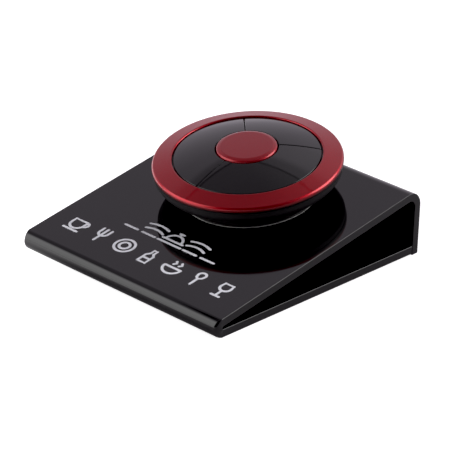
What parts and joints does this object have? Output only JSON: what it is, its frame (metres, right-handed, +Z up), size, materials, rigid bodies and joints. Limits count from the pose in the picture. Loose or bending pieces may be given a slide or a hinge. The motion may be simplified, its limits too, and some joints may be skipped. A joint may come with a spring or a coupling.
{
  "type": "waiter call button",
  "caption": "Round wireless call button with a red metallic ring, black sector keys and a red centre key, stuck on a wedge stand bent from one glossy black sheet.",
  "frame": {"origin": "on the table, in the middle of the stand's footprint", "axes": "+X across the stand to the right as its user sees it, +Y from the front fold to the rear wall, +Z up"},
  "size_m": [0.09, 0.1032, 0.0382],
  "materials": {
    "black_acrylic": "polished black acrylic sheet",
    "red_metallic": "metallic red lacquer under clear coat",
    "black_gloss": "glossy black moulded plastic",
    "red_gloss": "glossy red moulded plastic",
    "black_plastic": "fine matt black moulded plastic",
    "clear_plastic": "clear acrylic",
    "foam": "double-sided foam tape",
    "board": "solder-masked glass-fibre board",
    "component": "moulded component body",
    "white_plastic": "white nylon",
    "steel": "nickel-plated steel",
    "cell": "stainless steel can",
    "spring_metal": "plated spring bronze"
  },
  "bodies": {
    "stand": {"stand_sheet": "black_acrylic", "adhesive_pad": "foam", "lower_housing": "black_gloss", "battery_door": "black_plastic", "ring_bezel": "red_metallic", "key_frame": "black_plastic", "circuit_board": "board", "tact_switches": "component", "controller_chip": "component", "surface_parts": "component", "resonator": "steel", "antenna_wire": "spring_metal", "indicator_led": "clear_plastic", "battery": "cell", "battery_holder": "black_plastic", "positive_contact": "spring_metal", "negative_contact": "spring_metal", "housing_screws": "steel", "bezel_screws": "steel", "board_screws": "steel"},
    "centre_button": {"centre_key": "red_gloss", "centre_plunger": "white_plastic", "light_pipe": "clear_plastic"},
    "back_button": {"back_key": "black_gloss", "back_plunger": "white_plastic"},
    "left_button": {"left_key": "black_gloss", "left_plunger": "white_plastic"},
    "right_button": {"right_key": "black_gloss", "right_plunger": "white_plastic"}
  },
  "joints": [
    {"name": "centre_press", "type": "slide", "parent": "stand", "child": "centre_button", "axis": [0, 0.1822, -0.9833], "range_m": [0, 0.0005], "stiffness_N_per_m": 3000, "springref_m": -0.0002},
    {"name": "back_press", "type": "slide", "parent": "stand", "child": "back_button", "axis": [0, 0.1822, -0.9833], "range_m": [0, 0.0005], "stiffness_N_per_m": 3000, "springref_m": -0.0002},
    {"name": "left_press", "type": "slide", "parent": "stand", "child": "left_button", "axis": [0, 0.1822, -0.9833], "range_m": [0, 0.0005], "stiffness_N_per_m": 3000, "springref_m": -0.0002},
    {"name": "right_press", "type": "slide", "parent": "stand", "child": "right_button", "axis": [0, 0.1822, -0.9833], "range_m": [0, 0.0005], "stiffness_N_per_m": 3000, "springref_m": -0.0002}
  ]
}
